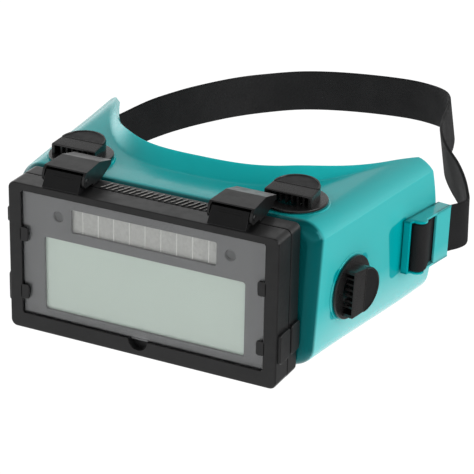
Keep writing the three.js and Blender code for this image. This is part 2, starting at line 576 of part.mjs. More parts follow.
function strapBand() {
  const left = strapEnd(LOOSE_LEFT).reverse().map((p) => new THREE.Vector3(-p.x, p.y, p.z));
  const curve = new THREE.CatmullRomCurve3([...strapEnd(LOOSE_RIGHT), ...left], false, 'centripetal');
  curve.arcLengthDivisions = 3000;
  const length = curve.getLength();
  const [endRun, endStep, freeStep] = [58, 1.2, 3.6];
  const places = [];
  for (let s = 0; s < length / 2; s += s < endRun ? endStep : freeStep) {
    places.push(s / length);
  }
  const rings = [];
  for (const at of [...places, 0.5, ...places.map((s) => 1 - s).reverse()]) {
    const centre = curve.getPointAt(at);
    const along = curve.getTangentAt(at);
    const tilt = LUG_TILT * (1 - smooth(110, 130, centre.y));
    const upright = new THREE.Vector3(Math.sign(centre.x) * tilt * Math.sin(WALL_TURN), tilt, 1).normalize();
    const side = along.clone().cross(upright).normalize();
    const lean = 0.15 * smooth(112, 150, centre.y);
    const up = upright.clone().multiplyScalar(Math.cos(lean)).addScaledVector(side, -Math.sin(lean));
    const across = side.clone().multiplyScalar(Math.cos(lean)).addScaledVector(upright, Math.sin(lean));
    rings.push([[1, 1], [-1, 1], [-1, -1], [1, -1]].map(([u, v]) => centre.clone()
      .addScaledVector(across, u * STRAP_THICK / 2).addScaledVector(up, v * STRAP_WIDTH / 2)));
  }
  return loft(rings);
}

place('head_strap', strapBand(), WEBBING);

export default goggles;
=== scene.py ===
# Welding goggles: the looks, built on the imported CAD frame.
# Pieces are laid out in millimetres from the centre of the front opening (x to the viewer's right,
# y = depth behind the front plane, z = height), as the CAD is, and row() turns that into the
# row frame's metres.
import contextlib
import math

import bmesh
import bpy
from mathutils import Matrix, Vector


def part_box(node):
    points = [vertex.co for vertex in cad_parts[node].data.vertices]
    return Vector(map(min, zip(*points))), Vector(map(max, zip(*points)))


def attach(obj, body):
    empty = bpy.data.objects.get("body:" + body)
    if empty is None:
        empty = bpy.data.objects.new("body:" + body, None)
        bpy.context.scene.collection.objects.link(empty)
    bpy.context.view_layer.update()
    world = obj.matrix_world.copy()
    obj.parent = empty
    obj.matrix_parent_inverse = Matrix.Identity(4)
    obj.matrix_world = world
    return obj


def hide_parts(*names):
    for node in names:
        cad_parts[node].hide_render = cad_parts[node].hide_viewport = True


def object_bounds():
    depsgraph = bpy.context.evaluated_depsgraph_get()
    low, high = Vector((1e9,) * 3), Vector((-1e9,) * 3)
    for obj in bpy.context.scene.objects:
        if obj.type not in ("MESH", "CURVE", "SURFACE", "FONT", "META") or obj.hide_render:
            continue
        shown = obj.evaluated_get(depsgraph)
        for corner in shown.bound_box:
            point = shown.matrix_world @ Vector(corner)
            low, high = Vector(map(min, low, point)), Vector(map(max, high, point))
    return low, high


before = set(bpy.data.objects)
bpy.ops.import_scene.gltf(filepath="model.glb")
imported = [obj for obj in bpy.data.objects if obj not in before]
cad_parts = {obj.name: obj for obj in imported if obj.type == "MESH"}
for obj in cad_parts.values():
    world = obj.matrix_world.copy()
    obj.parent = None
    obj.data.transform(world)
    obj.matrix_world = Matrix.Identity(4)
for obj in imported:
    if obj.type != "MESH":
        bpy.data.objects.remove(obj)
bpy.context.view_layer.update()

# ---- Driving dimensions, in millimetres ----
MM = 0.001
FRAME_HALF = 57.6        # half width of both frames
FRAME_TOP = 28.8
FRAME_BOTTOM = -32.5
FLIP_DEPTH = 10.2
REAR_FRONT, REAR_BACK = 10.6, 18.5
OPEN_HALF = (52.0, 25.85)
POCKET_HALF = (54.7, 27.4)
LIP_DEPTH = 2.2
BODY_FRONT = 18.8
BODY_CORNER = 5.0
BODY_TOP = 28.2
BODY_HALF = 64.0
FLARE = 0.1305
SIDE_BELLY = 1.3
WALL = 2.4
TEMPLE_DEPTH, TEMPLE_BELLY = 104.5, 4.5
BROW_DEPTH, NOSE_DEPTH = 49.0, 58.0
BROW_RISE, BROW_REACH, BROW_SAG = 6.1, 6.5, 0.8
HINGE_X, HINGE_Y, HINGE_Z = 35.3, 6.0, 32.6
BRACKET_HALF, CHEEK, HOOD_TAPER = 9.25, 1.0, 0.1
PIN_R, BORE_R = 1.0, 1.1
TOP_VENT = (46.4, 36.5, 28.3)
SIDE_VENT_Y, SIDE_VENT_Z = 44.5, -5.7
VENT_R, SEAT_R, SPIGOT_R = 12.9, 13.7, 8.6
STRAP_WIDTH, STRAP_THICK = 20.0, 1.4
WINDOW_HALF, WINDOW_Z = (43.0, 15.25), -7.7
SOLAR_HALF, SOLAR_Z = (31.0, 4.75), 16.5
SENSOR_X, SENSOR_Z, SENSOR_R = 36.7, 17.3, 2.1
LUG_MIDDLE, LUG_Z, LUG_TILT = 93.0, -3.0, 0.045
LUG_HALF, LUG_OUT = 11.2, 6.5
BAR_X, BAR_Y, BAR_R = 4.9, -6.5, 1.5

COVER_FRONT = 1.1
ORIGIN = Vector((0.0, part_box("cover_lens")[0].y - COVER_FRONT * MM,
                 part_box("rear_frame")[0].z - FRAME_BOTTOM * MM))


def row(point):
    """A layout point in millimetres, as a point of the row frame in metres."""
    return ORIGIN + Vector(point) * MM


def new_object(name, data):
    made = bpy.data.objects.new(name, data)
    bpy.context.scene.collection.objects.link(made)
    return made


# ---- Camera ----
CAMERA_AIM = (29.62, 22.14, 15.47)
CAMERA_AZIMUTH, CAMERA_ELEVATION, CAMERA_ROLL = 26.06, 24.01, 1.25
CAMERA_DISTANCE = 814.0
CAMERA_LENS = 164.1      # millimetres on a 36 mm sensor


def make_camera():
    angles = (CAMERA_AZIMUTH, CAMERA_ELEVATION, CAMERA_ROLL)
    azimuth, elevation, roll = (math.radians(angle) for angle in angles)
    level = math.cos(elevation)
    back = Vector((math.sin(azimuth) * level, -math.cos(azimuth) * level, math.sin(elevation)))
    camera = new_object("camera", bpy.data.cameras.new("camera"))
    camera.data.lens = CAMERA_LENS
    camera.data.sensor_width = 36.0
    camera.location = row(Vector(CAMERA_AIM) + back * CAMERA_DISTANCE)
    turn = back.to_track_quat("Z", "Y").to_matrix() @ Matrix.Rotation(roll, 3, "Z")
    camera.rotation_euler = turn.to_euler()
    camera.data.clip_start = 0.01
    bpy.context.scene.camera = camera


# ---- Mesh helpers ----
def smooth(low, high, value):
    t = min(1.0, max(0.0, (value - low) / (high - low)))
    return t * t * (3 - 2 * t)


def mix(a, b, t):
    return tuple(p + (q - p) * t for p, q in zip(a, b))


def eased(corners, reach, steps=4):
    """A closed outline, each corner turned into a small curve that starts `reach` before it."""
    count = len(corners)
    reaches = reach if isinstance(reach, (list, tuple)) else [reach] * count
    points = []
    for i, corner in enumerate(corners):
        if reaches[i] == 0:
            points.append(tuple(corner))
            continue
        before, after = corners[i - 1], corners[(i + 1) % count]
        start = mix(corner, before, min(0.48, reaches[i] / math.dist(corner, before)))
        end = mix(corner, after, min(0.48, reaches[i] / math.dist(corner, after)))
        for k in range(steps + 1):
            t = k / steps
            points.append(mix(mix(start, corner, t), mix(corner, end, t), t))
    return points


def inset(outline, distance):
    """A closed counter-clockwise outline moved inwards."""
    moved = []
    for i, point in enumerate(outline):
        before, after = Vector(outline[i - 1]), Vector(outline[(i + 1) % len(outline)])
        here = Vector(point)
        u, v = (here - before).normalized(), (after - here).normalized()
        normal = Vector((-u.y - v.y, u.x + v.x))
        if normal.length < 1e-6:
            normal = Vector((-u.y, u.x))
        normal.normalize()
        shrink = max(0.5, normal.dot(Vector((-u.y, u.x))))
        moved.append(tuple(here + normal * (distance / shrink)))
    return moved


def rounded(half_x, half_z, radius, cx=0.0, cz=0.0, steps=7):
    """A closed rounded rectangle, counter-clockwise from its lower right corner."""
    points = []
    for sx, sz, start in ((1, -1, -90), (1, 1, 0), (-1, 1, 90), (-1, -1, 180)):
        for k in range(steps + 1):
            angle = math.radians(start + 90 * k / steps)
            x = cx + sx * (half_x - radius) + radius * math.cos(angle)
            points.append((x, cz + sz * (half_z - radius) + radius * math.sin(angle)))
    return points


def circle(radius, cx=0.0, cy=0.0, steps=48):
    turns = [2 * math.pi * k / steps for k in range(steps)]
    return [(cx + radius * math.cos(a), cy + radius * math.sin(a)) for a in turns]


class Shape:
    """Points in layout millimetres and the faces between them."""

    def __init__(self):
        self.points = []
        self.faces = []

    def add(self, points, faces, matrix=None):
        base = len(self.points)
        for point in points:
            place = Vector(point)
            self.points.append(matrix @ place if matrix else place)
        self.faces.extend([base + i for i in face] for face in faces)
        return self

    def loft(self, rings, loop=False, matrix=None):
        """A skin through rings of equal counts. A loop joins the last ring to the first;
        otherwise both ends are closed."""
        count = len(rings[0])
        faces = []
        for r in range(len(rings) if loop else len(rings) - 1):
            a, b = r * count, ((r + 1) % len(rings)) * count
            for i in range(count):
                j = (i + 1) % count
                faces.append((a + i, a + j, b + j, b + i))
        if not loop:
            faces.append(tuple(reversed(range(count))))
            faces.append(tuple((len(rings) - 1) * count + i for i in range(count)))
        return self.add([p for ring in rings for p in ring], faces, matrix)

    def prism(self, outline, low, high, edge=0.35, axis="y", matrix=None, steps=3):
        """An outline run along an axis from low to high, with both end edges rounded."""
        place = {
            "x": lambda u, v, w: (w, u, v),
            "y": lambda u, v, w: (u, w, v),
            "z": lambda u, v, w: (u, v, w),
        }[axis]
        turns = [math.pi / 2 * k / steps for k in range(steps + 1)] if edge else [0.0]
        levels = [(edge * (1 - math.sin(t)), low + edge * (1 - math.cos(t))) for t in turns]
        levels += [(edge * (1 - math.cos(t)), high - edge * (1 - math.sin(t))) for t in turns]
        rings = [[place(u, v, depth) for u, v in inset(outline, step)] for step, depth in levels]
        return self.loft(rings, matrix=matrix)

    def sections(self, corners, reaches, steps=4):
        """A ring of rounded rectangles: each corner is (half_x, half_z, cz, radius, y)."""
        rings = []
        for hx, hz, cz, r, y in eased(corners, reaches, steps):
            rings.append([(x, y, z) for x, z in rounded(hx, hz, max(r, 0.05), 0, cz)])
        return self.loft(rings, loop=True)

    def lathe(self, profile, matrix=None, steps=48):
        """A closed (radius, height) profile turned round the local Z axis."""
        rings = []
        for k in range(steps):
            angle = 2 * math.pi * k / steps
            rings.append([(r * math.cos(angle), r * math.sin(angle), z) for r, z in profile])
        return self.loft(rings, loop=True, matrix=matrix)

    def join(self, other):
        return self.add(other.points, other.faces)

    def placed(self, matrix, side=1):
        """The shape moved by a matrix, and mirrored across x for the left side."""
        moved = Shape()
        for point in self.points:
            place = matrix @ Vector(point)
            moved.points.append(Vector((side * place.x, place.y, place.z)))
        moved.faces = [list(face) for face in self.faces]
        return moved


@contextlib.contextmanager
def editing(mesh):
    """A mesh as a BMesh, written back at the end."""
    work = bmesh.new()
    work.from_mesh(mesh)
    yield work
    work.to_mesh(mesh)
    work.free()


def to_object(name, shape):
    mesh = bpy.data.meshes.new(name)
    mesh.from_pydata([row(p) for p in shape.points], [], shape.faces)
    piece = new_object(name, mesh)
    with editing(mesh) as work:
        bmesh.ops.remove_doubles(work, verts=work.verts, dist=1e-7)
        bmesh.ops.recalc_face_normals(work, faces=work.faces)
    return piece


def bake(piece):
    """Applies a piece's modifiers, for good."""
    graph = bpy.context.evaluated_depsgraph_get()
    done = bpy.data.meshes.new_from_object(piece.evaluated_get(graph))
    piece.modifiers.clear()
    piece.data = done


def carve(piece, shape, operation="DIFFERENCE"):
    """Cuts a shape out of a piece, or unites the two."""
    cutter = to_object("cutter", shape)
    change = piece.modifiers.new("cut", "BOOLEAN")
    change.operation = operation
    change.solver = "EXACT"
    change.object = cutter
    bake(piece)
    bpy.data.objects.remove(cutter)


def soften(piece, width, angle):
    """Rounds a piece's edges that are sharper than the angle."""
    change = piece.modifiers.new("soften", "BEVEL")
    change.width = width * MM
    change.segments = 2
    change.limit_method = "ANGLE"
    change.angle_limit = math.radians(angle)
    bake(piece)


def join(piece, *others):
    """Adds other objects' meshes to a piece's mesh."""
    with editing(piece.data) as work:
        for other in others:
            work.from_mesh(other.data)
            bpy.data.objects.remove(other)


def paint(piece, chosen):
    """Gives a piece's second material to the faces whose centre is chosen."""
    for face in piece.data.polygons:
        if chosen(face.center):
            face.material_index = 1


def finish_piece(piece, body, nodes, materials, angle=32.0):
    """Shades a piece, gives it its materials, and hangs it on its body in place of its nodes."""
    limit = math.radians(angle)
    with editing(piece.data) as work:
        for face in work.faces:
            face.smooth = True
        for edge in work.edges:
            edge.smooth = len(edge.link_faces) == 2 and edge.calc_face_angle(0.0) < limit
    for material in materials:
        piece.data.materials.append(material)
    weighted = piece.modifiers.new("weighted", "WEIGHTED_NORMAL")
    weighted.keep_sharp = True
    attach(piece, body)
    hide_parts(*nodes)


def add_piece(name, shape, body, node, material):
    """A piece of one material, straight from its shape, in place of one node."""
    piece = to_object(name, shape)
    finish_piece(piece, body, [node], [material])
    return piece


# ---- Materials ----
class Nodes:
    """Short ways to add and link the nodes of one tree."""

    def __init__(self, tree):
        self.tree = tree

    def node(self, kind, **inputs):
        return self.fill(self.tree.nodes.new(kind), inputs)

    @staticmethod
    def fill(node, inputs):
        """Sets a node's inputs by name, with _ for each space."""
        for socket, value in inputs.items():
            node.inputs[socket.replace("_", " ")].default_value = value
        return node

    def link(self, output, target):
        self.tree.links.new(output, target)

    def feed(self, sockets, values):
        """Sets each socket to its number or colour, or links it to its node output."""
        for socket, value in zip(sockets, values):
            if isinstance(value, (float, tuple)):
                socket.default_value = (*value, 1.0) if isinstance(value, tuple) else value
            else:
                self.link(value, socket)

    def calc(self, operation, *values):
        node = self.tree.nodes.new("ShaderNodeMath")
        node.operation = operation
        self.feed(node.inputs, values)
        return node.outputs[0]

    def spread(self, value, low, high, from_low=0.35, from_high=0.65):
        """A value's range from_low to from_high, mapped to low to high and clamped."""
        ranged = self.node("ShaderNodeMapRange", From_Min=from_low, From_Max=from_high,
                           To_Min=low, To_Max=high)
        self.link(value, ranged.inputs["Value"])
        return ranged.outputs["Result"]

    def fade(self, factor, first, second):
        """A mix of two values."""
        node = self.tree.nodes.new("ShaderNodeMix")
        self.feed((node.inputs[0], node.inputs[2], node.inputs[3]), (factor, first, second))
        return node.outputs[0]


class Finish(Nodes):
    """A Principled material with its texture nodes laid out in object space."""

    def __init__(self, name, color, roughness, **settings):
        self.material = bpy.data.materials.new(name)
        self.material.use_nodes = True
        super().__init__(self.material.node_tree)
        self.shader = self.tree.nodes["Principled BSDF"]
        self.color, self.roughness = color, roughness
        self.fill(self.shader, {"Base Color": (*color, 1.0), "Roughness": roughness, **settings})

    def coordinates(self):
        return self.node("ShaderNodeTexCoord").outputs["Object"]

    def noise(self, scale, detail=3.0):
        noise = self.node("ShaderNodeTexNoise", Scale=scale, Detail=detail)
        self.link(self.coordinates(), noise.inputs["Vector"])
        return noise.outputs["Fac"]

    def tinted(self, output):
        self.link(output, self.shader.inputs["Base Color"])

    def glossed(self, output):
        self.link(output, self.shader.inputs["Roughness"])

    def blend(self, factor, first, second):
        """A mix of two colours; either one may be a node's output."""
        blended = self.tree.nodes.new("ShaderNodeMix")
        blended.data_type = "RGBA"
        sockets = (blended.inputs[0], blended.inputs[6], blended.inputs[7])
        self.feed(sockets, (factor, first, second))
        return blended.outputs[2]

    def bump(self, height, strength, distance):
        bump = self.node("ShaderNodeBump", Strength=strength, Distance=distance)
        self.link(height, bump.inputs["Height"])
        self.link(bump.outputs["Normal"], self.shader.inputs["Normal"])

    def moulded(self, tint=0.12, rough=0.06, grain=0.25, grain_scale=2600.0, cloud_scale=45.0):
        """Moulded plastic: faint clouds in colour and gloss, and a fine surface grain."""
        cloud = self.noise(cloud_scale)
        lighter = tuple(min(1.0, c * (1 + tint)) for c in self.color)
        darker = tuple(c * (1 - tint) for c in self.color)
        self.tinted(self.blend(self.spread(cloud, 0.0, 1.0), darker, lighter))
        low, high = self.roughness - rough, self.roughness + rough
        self.glossed(self.spread(self.noise(cloud_scale * 6), low, high))
        if grain:
            self.bump(self.noise(grain_scale, 2.0), grain, 0.00002)
        return self


def soft_body_material():
    """Glossy translucent teal, with painted shade on the front band just behind the frame, deeper
    and darker teal in rounded patches round each side vent and round the front of each strap
    bracket, and a painted sheen on the side walls, paler still near their lower edge as a painted
    reflection of the floor."""
    finish = Finish("soft_body_teal", (0.004, 0.47, 0.47), 0.16, IOR=1.52,
                    Subsurface_Weight=0.3, Subsurface_Scale=0.003,
                    Subsurface_Radius=(0.25, 1.0, 1.0), Specular_Tint=(0.15, 0.85, 0.9, 1.0))
    split = finish.node("ShaderNodeSeparateXYZ")
    finish.link(finish.coordinates(), split.inputs[0])
    x, y, z = split.outputs
    apart = finish.calc("ABSOLUTE", x)
    # Deeper, darker teal in rounded patches round each side vent and round the front of each strap
    # bracket.
    patches = [patch_mask(finish, (apart, y, z), centre, half, turn) for centre, half, turn in (
        ((SIDE_VENT_Y, SIDE_VENT_Z), (12.2, 10.6), 0.0),
        ((LUG_MIDDLE - 13.0, LUG_Z + 0.5), (7.0, 11.6), 0.14))]
    cloud = finish.spread(finish.noise(28.0), 0.0, 1.0)
    plain = finish.blend(cloud, (0.012, 0.50, 0.51), (0.015, 0.55, 0.56))
    # Painted sheen: the side walls are paler, and paler still towards their lower edge, a painted
    # reflection of the floor.
    painted_floor_reflection = finish.spread(z, 1.0, 0.0, row((0, 0, -27)).z, row((0, 0, -8)).z)
    wall = finish.blend(painted_floor_reflection, (0.055, 0.49, 0.495), (0.30, 0.66, 0.66))
    plain = finish.blend(finish.spread(apart, 0.0, 1.0, 0.056, 0.066), plain, wall)
    patched = finish.blend(finish.calc("MAXIMUM", *patches), plain, (0.0, 0.36, 0.38))
    # Painted shade: the front band of the body, just behind the frame, is nearly black teal.
    painted_shade_end = row((0, BODY_FRONT + 3.2, 0)).y
    behind = finish.spread(y, 0.0, 1.0, painted_shade_end, painted_shade_end + 1.6 * MM)
    finish.tinted(finish.blend(behind, (0.0, 0.085, 0.09), patched))
    finish.glossed(finish.spread(finish.noise(160.0), 0.13, 0.2))
    finish.bump(finish.noise(420.0, 2.0), 0.06, 0.00004)
    return finish.material


def patch_mask(finish, place, centre, half, turn):
    """One inside a rounded rectangle on the side walls, given as depth and height, zero outside.
    `place` is the distance from the middle plane, the depth and the height."""
    apart, y, z = place
    middle, calc = row((0.0, *centre)), finish.calc
    y = calc("SUBTRACT", y, middle.y)
    z = calc("SUBTRACT", z, middle.z)
    cosine, sine = math.cos(turn), math.sin(turn)
    along = calc("ADD", calc("MULTIPLY", y, cosine), calc("MULTIPLY", z, sine))
    up = calc("SUBTRACT", calc("MULTIPLY", z, cosine), calc("MULTIPLY", y, sine))
    corner, blur = 3.0 * MM, 0.3 * MM
    outside = []
    for value, reach in ((along, half[0]), (up, half[1])):
        beyond = calc("SUBTRACT", calc("ABSOLUTE", value), reach * MM - corner)
        outside.append(calc("POWER", calc("MAXIMUM", beyond, 0.0), 2.0))
    away = calc("SQRT", calc("ADD", *outside))
    inside = finish.spread(away, 1.0, 0.0, corner - blur, corner + blur)
    return calc("MULTIPLY", inside, finish.spread(apart, 0.0, 1.0, 0.056, 0.060))


def webbing_material():
    """Black elastic webbing: fine cords crossed by the weft, from the strap's own UV in mm."""
    finish = Finish("strap_webbing", (0.012, 0.012, 0.0125), 0.72, Specular_IOR_Level=0.2)
    split = finish.node("ShaderNodeSeparateXYZ")
    finish.link(finish.node("ShaderNodeUVMap").outputs["UV"], split.inputs[0])
    across_pitch, along_pitch = 1.25, 0.8
    waves = [finish.calc("SINE", finish.calc("MULTIPLY", split.outputs[i], 2 * math.pi / pitch))
             for i, pitch in enumerate((across_pitch, along_pitch))]
    weave = finish.calc("MULTIPLY", *waves)
    shade = finish.spread(weave, 0.0, 1.0, -1.0, 1.0)
    finish.tinted(finish.blend(shade, (0.0075, 0.0075, 0.008), (0.0145, 0.0145, 0.015)))
    finish.glossed(finish.spread(finish.noise(90.0), 0.66, 0.8))
    finish.bump(weave, 0.5, 0.00012)
    return finish.material


def solar_material():
    finish = Finish("solar_cells", (0.43, 0.44, 0.41), 0.3, Coat_Weight=0.4, Coat_Roughness=0.1)
    fine = finish.spread(finish.noise(900.0, 2.0), 0.0, 1.0)
    finish.tinted(finish.blend(fine, (0.54, 0.545, 0.52), (0.60, 0.605, 0.58)))
    finish.glossed(finish.spread(finish.noise(60.0), 0.25, 0.4))
    return finish.material


def glass_material(name, color, roughness=0.02, ior=1.49):
    finish = Finish(name, color, roughness, Transmission_Weight=1.0, IOR=ior)
    finish.glossed(finish.spread(finish.noise(35.0), roughness * 0.5, roughness * 1.5))
    return finish.material


def make_materials():
    plain = {
        "black": Finish("black_moulded", (0.0095, 0.0095, 0.0098), 0.34, Specular_IOR_Level=0.38)
        .moulded(),
        "plate": Finish("black_hinge_plate", (0.004, 0.004, 0.0043), 0.42, Specular_IOR_Level=0.22)
        .moulded(),
        "vent": Finish("black_vent", (0.0105, 0.010, 0.010), 0.28).moulded(rough=0.05),
        # Pale grey for the ribs' tops.
        "ribs": Finish("pale_rib_tops", (0.42, 0.41, 0.39), 0.45).moulded(0.15, 0.08, 0.3),
        "bezel": Finish("bezel_grey", (0.175, 0.178, 0.184), 0.5)
        .moulded(0.04, 0.05, 0.3, 3000.0, 20.0),
        "filter": Finish("filter_glass", (0.73, 0.86, 0.77), 0.12, Coat_Weight=0.5,
                         Coat_Roughness=0.03)
        .moulded(0.02, 0.03, 0.0, cloud_scale=16.0),
        "crystal": Finish("crystal_cell", (0.10, 0.13, 0.11), 0.1).moulded(0.03, 0.04, 0.0),
        "cell_line": Finish("cell_line", (0.90, 0.91, 0.88), 0.4).moulded(0.05, 0.05, 0.0),
        "sensor": Finish("sensor_window", (0.10, 0.105, 0.11), 0.35).moulded(0.05, 0.05, 0.0),
        "rubber": Finish("gasket_rubber", (0.012, 0.012, 0.012), 0.8).moulded(),
        "steel": Finish("steel", (0.55, 0.56, 0.58), 0.28, Metallic=1.0).moulded(0.06, 0.08, 0.3),
        "pin": Finish("dark_pin", (0.06, 0.06, 0.06), 0.5, Metallic=1.0).moulded(),
        "board": Finish("board", (0.015, 0.12, 0.045), 0.4).moulded(0.25, 0.1, 0.4, 900.0, 400.0),
    }
    made = {name: finish.material for name, finish in plain.items()}
    made["teal"] = soft_body_material()
    made["webbing"] = webbing_material()
    made["solar"] = solar_material()
    made["clear"] = glass_material("clear_cover", (0.995, 1.0, 0.998))
    made["lens"] = glass_material("safety_glass", (0.90, 0.96, 0.94), 0.015, 1.52)
    return made


# ---- Lens frames ----
FRAME_RISE = (FRAME_TOP - FRAME_BOTTOM) / 2
FRAME_MID = (FRAME_TOP + FRAME_BOTTOM) / 2


def tab(shape, side, z, front, thick, edge, middle=51.0, half=1.9):
    """One of the small rounded tabs that hold a lens at the side of its opening."""
    outline = rounded(half, 3.0, 0.9, side * middle, z + 3.0, 4)
    shape.prism(outline, front, front + thick, edge)


def catch(shape, side, front, back):
    """A raised catch pad with rounded corners on the side of a frame."""
    bottom, top = -22.4, -10.2
    corners = eased([(front, bottom), (back, bottom), (back, top), (front, top)], 1.4)
    low, high = sorted((side * (FRAME_HALF - 1.0), side * (FRAME_HALF + 1.2)))
    shape.prism(corners, low, high, 0.45, "x")


def axle(centre):
    """The hinge axis, as a local z axis with its origin at this x."""
    return Matrix.Translation((centre, HINGE_Y, HINGE_Z)) @ Matrix.Rotation(math.pi / 2, 4, "Y")


def knuckle(shape, side):
    """Leaning cover plate with two ledges, web and barrel of one hinge on the front frame."""
    centre = side * HINGE_X
    plate = eased([(1.1, 28.0), (4.6, 28.0), (4.8, 31.5), (4.85, 33.0), (5.5, 34.5), (4.9, 35.0),
                   (1.1, 28.8)], [0, 0, 0, 0, 0.3, 0.3, 0.2])
    shape.prism(plate, centre - 7.9, centre + 7.9, 0.3, "x")
    for z, half in ((33.9, 5.0), (33.1, 4.4)):
        y = 1.1 + (z - 28.8) * 3.8 / 6.2    # on the plate's leaning front
        low, high = z - 0.2, z + 0.15
        ledge = [(y - 0.25, low), (y + 0.4, low), (y + 0.6, high), (y - 0.05, high)]
        shape.prism(eased(ledge, 0.08, 2), centre - half, centre + half, 0.1, "x")
    front, back, top = HINGE_Y - 1.2, HINGE_Y + 1.2, HINGE_Z - 1.25
    web = [(front, 28.0), (back, 28.0), (back, top), (front, top)]
    shape.prism(eased(web, 0.2), centre - 7.3, centre + 7.3, 0.2, "x")
    barrel = [(BORE_R, -7.9), (1.65, -7.9), (1.9, -7.65), (1.9, 7.65), (1.65, 7.9), (BORE_R, 7.9)]
    shape.lathe(barrel, axle(centre), 28)


def make_flip_frame(finishes):
    corners = [
        (FRAME_HALF, FRAME_RISE, FRAME_MID, 2.6, 0.0),
        (*OPEN_HALF, 0.0, 0.9, 0.0),
        (*OPEN_HALF, 0.0, 0.9, LIP_DEPTH),
        (*POCKET_HALF, 0.0, 1.5, LIP_DEPTH),
        (*POCKET_HALF, 0.0, 1.5, FLIP_DEPTH),
        (FRAME_HALF, FRAME_RISE, FRAME_MID, 2.6, FLIP_DEPTH),
    ]
    ring = Shape().sections(corners, [0.9, 0.4, 0.3, 0.0, 0.3, 0.5], 5)
    frame_piece = to_object("front_frame", ring)
    notch = Shape()
    mouth = [(3.9 + 0.5 * math.exp(-d / 0.35), d - 0.3) for d in (0.0, 0.3, 0.6, 0.9, 1.4, 3.4)]
    notch.loft([[(-0.9 + x, y, -26.0 + z) for x, z in circle(r, steps=40)] for r, y in mouth])
    carve(frame_piece, notch)
    details = Shape()
    for side in (-1, 1):
        for z in (-19.6, 4.7):
            tab(details, side, z, 0.0, 0.9, 0.3)
        catch(details, side, 1.2, FLIP_DEPTH - 0.4)
        knuckle(details, side)
    grip = eased([(0.8, 11.5), (6.0, 11.5), (6.0, 17.6), (0.8, 17.6)], 0.8)
    details.prism(grip, -FRAME_HALF - 1.0, -FRAME_HALF + 1.0, 0.4, "x")
    join(frame_piece, to_object("front_frame_details", details))
    finish_piece(frame_piece, "flip_front", ["flip_frame"],
                 [finishes["black"], finishes["plate"]])
    paint(frame_piece, lambda centre: centre.z > row((0, 0, 29.0)).z)


def make_rear_frame(finishes):
    corners = [
        (FRAME_HALF, FRAME_RISE, FRAME_MID, 2.4, REAR_FRONT),
        (54.8, 25.9, 0.0, 1.5, REAR_FRONT),
        (54.8, 25.9, 0.0, 1.5, 16.4),
        (47.0, 18.6, 0.0, 6.0, 16.4),
        (47.0, 18.6, 0.0, 6.0, 23.4),
        (51.6, 23.1, 0.0, 9.0, 23.4),
        (51.6, 23.1, 0.0, 9.0, 21.5),
        (49.3, 20.7, 0.0, 8.0, 21.5),
        (49.3, 20.7, 0.0, 8.0, REAR_BACK),
        (FRAME_HALF, FRAME_RISE, FRAME_MID, 2.4, REAR_BACK),
    ]
    shape = Shape().sections(corners, [0.5, 0.35, 0.0, 0.35, 0.4, 0.4, 0.0, 0.0, 0.0, 0.9], 4)
    for side in (-1, 1):
        catch(shape, side, REAR_FRONT + 0.3, REAR_BACK - 0.5)
        for z in (-14.0, 12.0):
            tab(shape, side, z, REAR_FRONT, 0.8, 0.25, 53.6, 2.4)
    piece = to_object("fixed_frame", shape)
    join(piece, to_object("ribs", rib_row()))
    finish_piece(piece, "goggles", ["rear_frame"],
                 [finishes["black"], finishes["ribs"]])
    # The ribs' tops take the pale grey.
    paint(piece, lambda centre: centre.z > row((0, 0, FRAME_TOP + 0.3)).z)


def rib_row():
    """Short slanted ribs in two staggered rows along the top, between the hinges."""
    ribs = Shape()
    count, pitch = 19, 2.5
    half, lean = 0.26, 0.55
    for i in range(count):
        for line in (0, 1):
            x = (i - (count - 1) / 2) * pitch + (1.1 if line else 0.0)
            length = 1.5 if (i + line) % 3 else 1.0
            y = 12.3 + 2.8 * line
            outline = [(x - half - lean, y - length), (x + half - lean, y - length),
                       (x + half + lean, y + length), (x - half + lean, y + length)]
            ribs.prism(eased(outline, 0.2, 2), FRAME_TOP - 0.2, FRAME_TOP + 0.42, 0.12, "z")
    return ribs


# ---- Hinge brackets ----
def make_hinge_bracket(side, word, finishes):
    """The hood over a hinge, with its cheeks and foot, and the pin through it."""
    centre = side * HINGE_X
    low, high = centre - BRACKET_HALF, centre + BRACKET_HALF
    rear = [(18.4, 29.1), (26.2, 32.6), (26.4, 34.2), (17.5, 36.5), (5.9, 36.1)]
    hood = [(5.9, 35.5), (10.5, 35.5), (15.5, 31.5), (15.5, 29.1), *rear]
    piece = to_object(f"hinge_hood_{word}", Shape().prism(hood, low, high, 0, "x"))
    cheek = [(4.6, 30.1), (10.9, 30.1), (10.9, 29.1), *rear, (4.4, 34.8), (3.6, 33.0), (3.6, 31.4)]
    for start in (low, high - CHEEK):
        carve(piece, Shape().prism(cheek, start, start + CHEEK, 0, "x"), "UNION")
    foot = [(10.9, 29.1), (18.4, 29.1), (19.4, 31.0), (15.5, 31.0), (15.5, 30.1), (10.9, 30.1)]
    carve(piece, Shape().prism(foot, low + CHEEK / 2, high - CHEEK / 2, 0, "x"), "UNION")
    carve(piece, Shape().prism(circle(BORE_R, HINGE_Y, HINGE_Z, 28), low - 3, high + 3, 0, "x"))
    soften(piece, 0.3, 14.0)
    middle = row((centre, 0, 0)).x
    for vertex in piece.data.vertices:
        back = min(1.0, max(0.0, ((vertex.co - ORIGIN).y / MM - 8) / 10))
        vertex.co.x = middle + (vertex.co.x - middle) * (1 - HOOD_TAPER * back)
    finish_piece(piece, "goggles", [f"hinge_bracket_{word}"],
                 [finishes["black"]], 40.0)
    pin = [(0.0, -9.3), (0.75, -9.3), (PIN_R, -9.1), (PIN_R, 9.1), (0.75, 9.3), (0.0, 9.3)]
    add_piece(f"hinge_rod_{word}", Shape().lathe(pin, axle(centre), 24), "goggles",
              f"hinge_pin_{word}", finishes["pin"])


